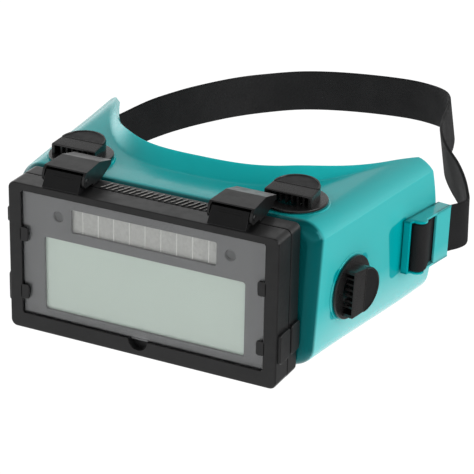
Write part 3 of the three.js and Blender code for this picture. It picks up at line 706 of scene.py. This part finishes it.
# ---- Auto-darkening cartridge ----
CARTRIDGE_HALF = (54.3, 27.0)
CARTRIDGE_FRONT, CARTRIDGE_BACK = 2.5, 7.6
GLASS_HALF = (44.5, 16.75)


def opening_cutter(half, cz, corner, front, back, flare):
    """A cutter for a rounded opening whose front mouth widens by `flare`."""
    steps = [(flare, front - 0.4), (flare, front), (flare * 0.35, front + flare * 0.4),
             (0.0, front + flare), (0.0, back)]
    rings = []
    for more, y in steps:
        outline = rounded(half[0] + more, half[1] + more, corner + more, 0, cz, 6)
        rings.append([(x, y, z) for x, z in outline])
    return Shape().loft(rings)


def flat_ring(outer, inner, front, back, edge):
    """A flat ring between two rounded rectangles, each (half_x, half_z, cz, radius)."""
    corners = [(*outer, front), (*inner, front), (*inner, back), (*outer, back)]
    return Shape().sections(corners, edge, 3)


def make_cartridge(finishes):
    face = CARTRIDGE_FRONT + 1.1
    shell = rounded(*CARTRIDGE_HALF, 1.2, steps=5)
    shell = Shape().prism(shell, CARTRIDGE_FRONT, CARTRIDGE_BACK, 0.25)
    bezel = to_object("cartridge_bezel", shell)
    hollow = rounded(CARTRIDGE_HALF[0] - 1.5, CARTRIDGE_HALF[1] - 1.5, 0.8, steps=5)
    carve(bezel, Shape().prism(hollow, face, CARTRIDGE_BACK + 1, 0.0))
    carve(bezel, opening_cutter(WINDOW_HALF, WINDOW_Z, 1.2, CARTRIDGE_FRONT, face + 1, 0.45))
    carve(bezel, opening_cutter(SOLAR_HALF, SOLAR_Z, 0.9, CARTRIDGE_FRONT, face + 1, 0.25))
    for side in (-1, 1):
        mouth = [[(side * SENSOR_X + x, y, SENSOR_Z + z)
                  for x, z in circle(SENSOR_R + more, steps=32)]
                 for more, y in ((0.3, 2.1), (0.3, 2.5), (0.08, 2.65), (0.0, 2.8), (0.0, face + 1))]
        carve(bezel, Shape().loft(mouth))
    finish_piece(bezel, "flip_front", ["filter_bezel"], [finishes["bezel"]])

    def add(name, shape, node, key):
        add_piece(name, shape, "flip_front", node, finishes[key])

    glass = Shape().prism(rounded(*GLASS_HALF, 1.0, 0, WINDOW_Z), 3.9, 4.9, 0.15)
    add("filter_window", glass, "uv_ir_filter", "filter")
    cell = Shape().prism(rounded(46.0, 17.4, 1.0, 0, WINDOW_Z), 5.2, 7.3, 0.2)
    add("shutter_cell", cell, "lcd_shutter", "crystal")
    make_solar(finishes)
    for side, word in ((-1, "left"), (1, "right")):
        profile = [(0.0, 3.9), (2.4, 3.9), (2.6, 4.1), (2.6, 4.6), (0.0, 4.6)]
        turn = (Matrix.Translation((side * SENSOR_X, 0, SENSOR_Z))
                @ Matrix.Rotation(-math.pi / 2, 4, "X"))
        eye = Shape().lathe(profile, turn, 32)
        add(f"sensor_eye_{word}", eye, f"arc_sensor_{word}", "sensor")
    outer = (*CARTRIDGE_HALF, 0.0, 1.2)
    back = flat_ring(outer, (*GLASS_HALF, WINDOW_Z, 1.5), 7.9, 8.7, 0.2)
    add("cartridge_back", back, "filter_back_cover", "black")
    keeper = flat_ring(outer, (48.5, 22.0, 0.0, 3.0), 9.0, 10.1, 0.25)
    add("cartridge_keeper", keeper, "filter_retainer", "black")


def make_solar(finishes):
    """The solar strip: a backing plate, ten cells and the pale lines between them."""
    plate = Shape().prism(rounded(32.5, 5.4, 0.6, 0, SOLAR_Z), 4.05, 4.6, 0.1)
    edges = [-32.4, *(-26.7 + 6.73 * i for i in range(9)), 32.4]
    gap = 0.45
    for left, right in zip(edges, edges[1:]):
        outline = rounded((right - left) / 2 - gap / 2, 5.3, 0.25, (left + right) / 2, SOLAR_Z, 2)
        plate.prism(outline, 3.9, 4.2, 0.08, steps=2)
    piece = to_object("solar_strip", plate)
    finish_piece(piece, "flip_front", ["solar_panel"],
                 [finishes["cell_line"], finishes["solar"]])
    paint(piece, lambda centre: centre.y < row((0, 4.04, 0)).y)


def make_lenses(finishes):
    cover = Shape().prism(rounded(51.7, 25.5, 0.7, steps=5), COVER_FRONT, 1.9, 0.12)
    add_piece("cover_sheet", cover, "flip_front", "cover_lens", finishes["clear"])
    lens = Shape().prism(rounded(54.4, 25.5, 1.2, steps=5), 11.8, 14.8, 0.3)
    add_piece("clear_safety_lens", lens, "goggles", "safety_lens", finishes["lens"])
    seal = flat_ring((54.4, 25.5, 0.0, 1.2), (50.0, 21.8, 0.0, 3.0), 15.1, 16.1, 0.3)
    add_piece("lens_seal", seal, "goggles", "lens_gasket", finishes["rubber"])


# ---- Soft body ----
def unit_loop():
    """The body's cross-section on a unit square: (a, b) from -1 to 1, counter-clockwise."""
    across, up, corner = 56, 22, 10
    ra, rb, crease = 0.14, 0.26, math.radians(24)
    high = 0.36
    shoulder = 1 - high + high * math.sin(crease)
    points = []

    def run(start, end, count):
        points.extend(mix(start, end, i / count) for i in range(count))

    def turn(ca, cb, start):
        for i in range(corner):
            angle = start + i / corner * math.pi / 2
            points.append((ca + ra * math.cos(angle), cb + rb * math.sin(angle)))

    def shouldered(sign):
        reach = ra / math.cos(crease)
        arc = [crease + i / corner * (math.pi / 2 - crease) for i in range(corner + 1)]
        ends = [(sign * (1 - ra + reach * math.cos(t)), 1 - high + high * math.sin(t)) for t in arc]
        points.extend(ends[:-1] if sign > 0 else ends[:0:-1])

    run((ra - 1, -1), (1 - ra, -1), across)
    turn(1 - ra, rb - 1, -math.pi / 2)
    run((1, rb - 1), (1, shoulder), up)
    shouldered(1)
    run((1 - ra, 1), (ra - 1, 1), across)
    shouldered(-1)
    run((-1, shoulder), (-1, rb - 1), up)
    turn(ra - 1, rb - 1, math.pi)
    return points


def rim_depth(a, b):
    """How far back the body reaches: short at the brow and nose, long at the temples."""
    across = min(1.0, abs(a) / 0.93)
    temple = TEMPLE_DEPTH + TEMPLE_BELLY * (1 - b * b)
    brow = BROW_DEPTH + (temple - BROW_DEPTH) * across**3.1
    cheek = NOSE_DEPTH + (temple - NOSE_DEPTH) * across**2.4
    return cheek + (brow - cheek) * smooth(-0.75, 0.75, b)


def half_width(y, b):
    lean = 1.6 * b * (1 - smooth(30, 95, y))
    belly = SIDE_BELLY * (1 - b * b) * smooth(30, 100, y)
    return BODY_HALF + FLARE * (y - BODY_FRONT - BODY_CORNER) + lean + belly


def skin_height(a, b, y, inner):
    middle, rise = (BODY_TOP + FRAME_BOTTOM) / 2, (BODY_TOP - FRAME_BOTTOM) / 2 - inner
    to_crease = 1 - (rim_depth(a, b) - y) / BROW_REACH
    ramp = (to_crease + math.sqrt(to_crease**2 + 0.01)) / 2
    brow = (BROW_RISE * ramp - BROW_SAG * smooth(22, 40, y)) * (1 - smooth(0.5, 0.92, abs(a)))
    brow *= smooth(0.4, 1, b)
    bridge = math.exp(-(((a * BODY_HALF) / 13) ** 2))
    nose = 17 * bridge * smooth(26, 56, y) * smooth(-0.4, -1, b)
    return middle + b * rise + brow + nose


def body_profile(a, b):
    """One section through the wall: front edge, outer skin, rim, inner skin."""
    opening = (a * 49.8, b * 21.2)
    start, rim = BODY_FRONT + BODY_CORNER, rim_depth(a, b)

    def skin(y, inner, inset_by):
        width = half_width(y, b) - inner - inset_by
        return (a * width, y, skin_height(a, b, y, inner + inset_by * 0.7))

    outer = [(opening[0], BODY_FRONT, opening[1])]
    for k in range(7):
        angle = math.pi / 2 * k / 7
        y = BODY_FRONT + BODY_CORNER * (1 - math.cos(angle))
        outer.append(skin(y, 0, BODY_CORNER * (1 - math.sin(angle))))
    back, lip, count = rim - 0.5, 0.5, 52
    levels = [start + (back - start) * (k / count) for k in range(count + 1)]
    outer.extend(skin(y, 0, 0) for y in levels)
    turns = (0.3, 0.6, 0.9, 1.2, 1.5)
    edge = [skin(back + lip * math.sin(t), lip * (1 - math.cos(t)), 0) for t in turns]
    edge += [skin(back + lip * math.sin(t), WALL - lip * (1 - math.cos(t)), 0)
             for t in reversed(turns)]
    inner = [skin(y, WALL, 0) for y in reversed(levels)]
    inner += [skin(BODY_FRONT + WALL, WALL, 3), (opening[0], BODY_FRONT + WALL, opening[1])]
    return outer + edge + inner


def side_matrix(y, z):
    """The frame of a side wall there: local x out of the wall, y backwards."""
    b = (z - FRAME_BOTTOM) / ((BODY_TOP - FRAME_BOTTOM) / 2) - 1
    return Matrix.Translation((half_width(y, b), y, z)) @ Matrix.Rotation(-math.atan(FLARE), 4, "Z")


def side_vent_matrix():
    return side_matrix(SIDE_VENT_Y, SIDE_VENT_Z) @ Matrix.Rotation(math.pi / 2 + 0.04, 4, "Y")


def lug_matrix():
    return side_matrix(LUG_MIDDLE, LUG_Z) @ Matrix.Rotation(-LUG_TILT, 4, "X")


def drum(radius, low, high, edge=0.0):
    """A disc or cylinder along the local z axis."""
    return Shape().prism(circle(radius, steps=72), low, high, edge, "z")


def block(x, y, z, edge=0.0):
    """A box between pairs of limits, its upright edges and its ends eased."""
    outline = [(x[0], y[0]), (x[1], y[0]), (x[1], y[1]), (x[0], y[1])]
    return Shape().prism(eased(outline, edge, 3) if edge else outline, *z, edge, "z")


def make_body(finishes):
    rings = [body_profile(a, b) for a, b in unit_loop()]
    body = to_object("soft_body", Shape().loft(rings, loop=True))
    top = Matrix.Translation(TOP_VENT)
    side = side_vent_matrix()
    for sign in (1, -1):
        carve(body, drum(SEAT_R, -3, 0, 0.4).placed(top, sign), "UNION")
        carve(body, drum(SEAT_R, 0, 9).placed(top, sign))
        carve(body, drum(VENT_R, -14, -3).placed(top, sign))
        carve(body, drum(SPIGOT_R + 0.3, -9, 12).placed(top, sign))
        carve(body, drum(SEAT_R, -2.2, 0.5, 0.3).placed(side, sign), "UNION")
        carve(body, drum(SEAT_R, 0.5, 9).placed(side, sign))
        carve(body, drum(VENT_R, -9, -2.4).placed(side, sign))
        carve(body, drum(SPIGOT_R + 0.3, -12, 12).placed(side, sign))
        carve(body, block((-9, 9), (-9.3, -0.7), (-9.3, 9.3)).placed(lug_matrix(), sign))
    finish_piece(body, "goggles", ["goggle_body"], [finishes["teal"]], 21.0)


# ---- Vents ----
MOUTH_SLOPE, REAR_SLOPE = 0.09, 0.06    # of a hood's top, either side of its fold


def make_vent(word, matrix, side, finishes):
    """A vent cap, its half-round hood open towards the front, and the ring that holds it."""
    flange, top, lip, fold = 1.4, 6.4, -6.4, 0.8
    turns = [math.pi * k / 28 for k in range(29)]
    arc = [(9.4 * math.cos(t), fold + 9.4 * math.sin(t)) for t in turns]
    outline = [(9.9, lip), *arc, (-9.9, lip)]
    hood = to_object(f"vent_{word}", Shape().prism(outline, 0.8, top, 0, "z"))
    soften(hood, 0.5, 50.0)
    inside = [(x * 0.86, y if y < 0 else y * 0.86) for x, y in outline]
    inside = [(x, y - 2 if y < -1 else y) for x, y in inside]
    carve(hood, Shape().prism(inside, 0.5, top - 1.2, 0, "z"))
    dish(hood, fold, top)
    crescent = row((0, fold, top - 0.3))
    paint(hood, lambda centre: centre.y > crescent.y and centre.z > crescent.z)
    bead = Shape().prism(circle(0.2, fold, top + 0.02, 10), -9.1, 9.1, 0, "x")
    lines = ((8.6, top - 0.1), (9.2, top - 0.1), (9.1, top + 0.25), (8.75, top + 0.25))
    rim = [[(r * math.cos(t), fold + r * math.sin(t), z) for r, z in lines] for t in turns]
    rim = [[(x, y, z + (y - fold) * REAR_SLOPE) for x, y, z in ring] for ring in rim]
    join(hood, to_object("bead", bead), to_object("rim", Shape().loft(rim)))
    settle(hood, matrix, side)
    profile = [(7.3, -6.6), (8.6, -6.6), (8.6, 0.3), (VENT_R - 0.3, 0.3), (VENT_R, 0.5),
               (VENT_R, 1.05), (VENT_R - 0.12, 1.28), (VENT_R - 0.4, 1.4), (7.3, 1.4)]
    parts = Shape().lathe(profile, steps=96)
    for x in (-6, -3.6, -1.2, 1.2, 3.6, 6):
        parts.join(block((x - 0.4, x + 0.4), (lip + 1.2, -0.5), (flange - 0.3, top - 1.0)))
    join(hood, to_object("vent_parts", parts.placed(matrix, side)))
    finish_piece(hood, "goggles", [f"vent_cap_{word}"],
                 [finishes["vent"], finishes["plate"]], 28.0)
    collar = [(8.9, -6.4), (11.3, -6.4), (11.5, -6.2), (11.5, -4.8), (11.3, -4.6), (8.9, -4.6)]
    ring = Shape().lathe(collar, steps=64).placed(matrix, side)
    add_piece(f"vent_collar_{word}", ring, "goggles", f"vent_ring_{word}",
              finishes["vent"])


def dish(piece, fold, top):
    """Splits a hood's top along its fold; it slopes down to the mouth and up behind the fold."""
    with editing(piece.data) as work:
        geometry = [*work.verts, *work.edges, *work.faces]
        bmesh.ops.bisect_plane(work, geom=geometry, dist=1e-6, plane_co=row((0, fold, 0)),
                               plane_no=(0, 1, 0))
        for vertex in work.verts:
            spot = (vertex.co - ORIGIN) / MM
            if spot.z > top - 0.7 and spot.y < fold:
                vertex.co.z -= (fold - spot.y) * MOUTH_SLOPE * MM
            elif spot.z > top - 0.7:
                vertex.co.z += (spot.y - fold) * REAR_SLOPE * MM


def settle(piece, matrix, side):
    """Moves a piece built at the layout's centre to its place, mirrored for the left side."""
    for vertex in piece.data.vertices:
        place = matrix @ ((vertex.co - ORIGIN) / MM)
        vertex.co = row((side * place.x, place.y, place.z))
    if side < 0:
        piece.data.flip_normals()


# ---- Strap brackets ----
def make_strap_bracket(word, side, finishes):
    """The channel on a temple that the strap threads through, with its bar."""
    front, back, flange = -11.6, 16.0, 0.9
    full = (-LUG_HALF, LUG_HALF)
    shape = block((0.4, 1.4), (-10.4, back), full, 0.2)
    shape.join(block((LUG_OUT - 1.2, LUG_OUT), (4.5, back), full, 0.35))
    shape.join(block((0.4, 3.4), (front, -10.4), full, 0.3))
    lobe = [(BAR_X + 3.1 * math.cos(t), BAR_Y + 3.1 * math.sin(t))
            for t in (-1.9, -1.4, -0.9, -0.4, 0.1, 0.6, 1.0)]
    wall = [(0.4, front), (3.0, front), *lobe, (LUG_OUT, -2.6), (LUG_OUT, back), (0.4, back)]
    for low in (-LUG_HALF, LUG_HALF - flange):
        shape.prism(wall, low, low + flange, 0.25, "z")
    shape.prism(circle(BAR_R, BAR_X, BAR_Y, 24), 0.5 - LUG_HALF, LUG_HALF - 0.5, 0.2, "z")
    shape.join(block((-3.6, 1), (-9, -1), (-9, 9), 0.3))
    shape.join(block((-4.4, -2.9), (-10, 0), (-10.6, 10.6), 0.4))
    return add_piece(f"strap_loop_{word}", shape.placed(lug_matrix(), side), "goggles",
                     f"strap_bracket_{word}", finishes["teal"])


# ---- Head strap ----
# The band hangs loose, so its two sides differ a little.
LOOSE_RIGHT = [(84.9, 116, -3.6), (85.4, 120.5, -3.6), (83.2, 126, -2), (80.2, 131.8, -0.2),
               (76.9, 136.6, 1.8), (73.4, 140.6, 3.7), (69.4, 144.4, 5.4), (65.4, 149, 6.8),
               (61.9, 154, 8), (58.1, 162, 8.4), (53.4, 177, 7.1), (48.6, 195, 5.9),
               (43.4, 208.6, 5.1), (37.6, 216.6, 4.2), (27.6, 223.4, 3), (16.5, 226.4, 2.3),
               (-2.9, 225.2, 1.7), (-20.8, 220, 1.6), (-33.2, 213.1, 1.7)]
LOOSE_LEFT = [*LOOSE_RIGHT[:3], (80, 131.8, -0.2), (76.5, 136.6, 1.8), (72.8, 140.6, 3.7),
              (68.6, 144.4, 5.4), (64.2, 149, 6.8), (59.5, 154, 8), (54.5, 162, 8.4),
              (49.5, 177, 6.9), (44.2, 197, 3.4)]


def strap_line():
    """The strap's centre line: each stitched end turns round its bar, then the band runs free."""
    turn_r = BAR_R + 0.3 + STRAP_THICK / 2
    turn = [(BAR_X + turn_r * math.cos(t), BAR_Y + turn_r * math.sin(t), 0)
            for t in map(math.radians, (180, 215, 250, 285, 320, 355))]
    held = [(2.4, 13, 0), (2.4, 3, 0), (2.4, -3.5, 0), *turn, (7.1, -4.2, 0), (5.9, -1, 0),
            (4.7, 2.2, 0), (4.25, 5, 0), (4.25, 10, 0), (4.35, 16.5, 0)]
    place = lug_matrix()
    points = [place @ Vector(p) for p in held]
    right = points + [Vector(p) for p in LOOSE_RIGHT]
    left = points + [Vector(p) for p in LOOSE_LEFT]
    return right + [Vector((-p.x, p.y, p.z)) for p in reversed(left)]


def through(points):
    """A centripetal Catmull-Rom curve through the points, in short steps."""
    steps = 10
    ends = [points[0] * 2 - points[1], *points, points[-1] * 2 - points[-2]]
    line = []
    for p0, p1, p2, p3 in zip(ends, ends[1:], ends[2:], ends[3:]):
        t0 = 0.0
        t1 = t0 + math.sqrt((p1 - p0).length)
        t2 = t1 + math.sqrt((p2 - p1).length)
        t3 = t2 + math.sqrt((p3 - p2).length)
        for k in range(steps):
            t = t1 + (t2 - t1) * k / steps
            a1 = p0.lerp(p1, (t - t0) / (t1 - t0))
            a2 = p1.lerp(p2, (t - t1) / (t2 - t1))
            a3 = p2.lerp(p3, (t - t2) / (t3 - t2))
            b1, b2 = a1.lerp(a2, (t - t0) / (t2 - t0)), a2.lerp(a3, (t - t1) / (t3 - t1))
            line.append(b1.lerp(b2, (t - t1) / (t2 - t1)))
    return [*line, points[-1].copy()]


def strap_section():
    """The band's cross-section as (across, up) with its edges rounded, counter-clockwise."""
    return rounded(STRAP_THICK / 2, STRAP_WIDTH / 2, 0.55, steps=3)


def make_strap(finishes):
    line = through(strap_line())
    rings, travelled, marks = [], 0.0, []
    for i, centre in enumerate(line):
        along = (line[min(i + 1, len(line) - 1)] - line[max(i - 1, 0)]).normalized()
        travelled += (centre - line[i - 1]).length if i else 0.0
        tilt = LUG_TILT * (1 - smooth(110, 130, centre.y))
        sign = math.copysign(1.0, centre.x)
        upright = Vector((sign * tilt * math.sin(math.atan(FLARE)), tilt, 1)).normalized()
        side = along.cross(upright).normalized()
        lean = 0.15 * smooth(112, 150, centre.y)
        up = upright * math.cos(lean) - side * math.sin(lean)
        across = side * math.cos(lean) + upright * math.sin(lean)
        rings.append([centre + across * u + up * v for u, v in strap_section()])
        marks.append(travelled)
    strap = to_object("head_band", Shape().loft(rings))
    add_strap_uv(strap, marks)
    finish_piece(strap, "goggles", ["head_strap"], [finishes["webbing"]], 50.0)


def add_strap_uv(strap, marks):
    """UVs in millimetres: up the band and along it. The vertices run ring by ring."""
    section = strap_section()
    layer = strap.data.uv_layers.new(name="band")
    for loop in strap.data.loops:
        ring, place = divmod(loop.vertex_index, len(section))
        layer.data[loop.index].uv = (section[place][1], marks[ring])


# ---- Everything that isn't replaced by a finer piece ----
def dress_inner_nodes(finishes):
    """The small inner pieces keep their CAD meshes and take a material."""
    for name, key in (("circuit_board", "board"), ("backup_battery_left", "steel"),
                      ("backup_battery_right", "steel")):
        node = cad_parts.get(name)
        if node:
            node.data.materials.clear()
            node.data.materials.append(finishes[key])


# ---- Surroundings ----
SKY_FRONT, SKY_BACK, SKY_LEFT = 0.85, 1.0, 1.7
SKY_LOW, SKY_HIGH, SKY_ZENITH = 1.6, 0.5, 0.12
FLOOR_FRONT, FLOOR_LEFT, FLOOR_RIGHT, FLOOR_NEAR = 0.55, 0.9, 0.18, 1.2


def make_floor():
    """A plain white surface that glows, so that it stays white and casts light from below."""
    mesh = bpy.data.meshes.new("white_floor")
    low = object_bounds()[0][2] - 0.0006
    mesh.from_pydata([(-3, -3, low), (3, -3, low), (3, 3, low), (-3, 3, low)], [], [(0, 1, 2, 3)])
    floor = new_object("white_floor", mesh)
    glow = bpy.data.materials.new("white_floor")
    glow.use_nodes = True
    glow.node_tree.nodes.clear()
    nodes = Nodes(glow.node_tree)
    emission = nodes.node("ShaderNodeEmission", Strength=1.06)
    nodes.link(emission.outputs[0], nodes.node("ShaderNodeOutputMaterial").inputs["Surface"])
    mesh.materials.append(glow)
    floor.visible_glossy = False


def make_sky():
    """A white surround, dimmer towards the zenith. Below the horizon it is what the plastic
    mirrors of the floor, so its levels differ from side to side."""
    world = bpy.data.worlds.new("surround")
    bpy.context.scene.world = world
    world.use_nodes = True
    sky = Nodes(world.node_tree)
    split = sky.node("ShaderNodeSeparateXYZ")
    sky.link(sky.node("ShaderNodeTexCoord").outputs["Generated"], split.inputs[0])
    across, depth, height = split.outputs
    upper = sky.fade(sky.spread(height, 0.0, 1.0, 0.0, 0.5), SKY_LOW, SKY_HIGH)
    upper = sky.fade(sky.spread(height, 0.0, 1.0, 0.78, 0.96), upper, SKY_ZENITH)
    upper = sky.calc("MULTIPLY", upper, sky.spread(depth, SKY_FRONT, SKY_BACK, -1.0, 1.0))
    upper = sky.calc("MULTIPLY", upper, sky.spread(across, SKY_LEFT, 1.0, -0.85, -0.55))
    behind = sky.spread(across, FLOOR_LEFT, FLOOR_RIGHT, -0.25, 0.25)
    below = sky.fade(sky.spread(depth, 0.0, 1.0, -0.85, -0.4), FLOOR_FRONT, behind)
    lower = sky.fade(sky.spread(height, 1.0, 0.0, -0.8, -0.45), below, FLOOR_NEAR)
    strength = sky.fade(sky.spread(height, 0.0, 1.0, -0.02, 0.02), lower, upper)
    background = sky.tree.nodes["Background"]
    background.inputs["Color"].default_value = (1.0, 1.0, 1.0, 1.0)
    sky.link(strength, background.inputs["Strength"])


def make_lamp():
    """A small key lamp, high on the right."""
    lamp = new_object("key", bpy.data.lights.new("key", "AREA"))
    lamp.data.size = 0.30
    lamp.data.energy = 0.95
    lamp.location = row((560, 60, 240))
    lamp.rotation_euler = (lamp.location - row((60, 60, 0))).to_track_quat("Z", "Y").to_euler()


def main():
    finishes = make_materials()
    make_body(finishes)
    make_flip_frame(finishes)
    make_rear_frame(finishes)
    make_cartridge(finishes)
    make_lenses(finishes)
    sides = ((1, "right"), (-1, "left"))
    for side, word in sides:
        make_hinge_bracket(side, word, finishes)
        make_vent(f"top_{word}", Matrix.Translation(TOP_VENT), side, finishes)
        seat = side_vent_matrix() @ Matrix.Translation((0, 0, 0.5))
        make_vent(f"side_{word}", seat, side, finishes)
    brackets = [make_strap_bracket(word, side, finishes) for side, word in sides]
    make_strap(finishes)
    dress_inner_nodes(finishes)
    make_floor()
    make_sky()
    make_lamp()
    make_camera()
    bpy.context.scene.view_settings.view_transform = "Standard"


main()
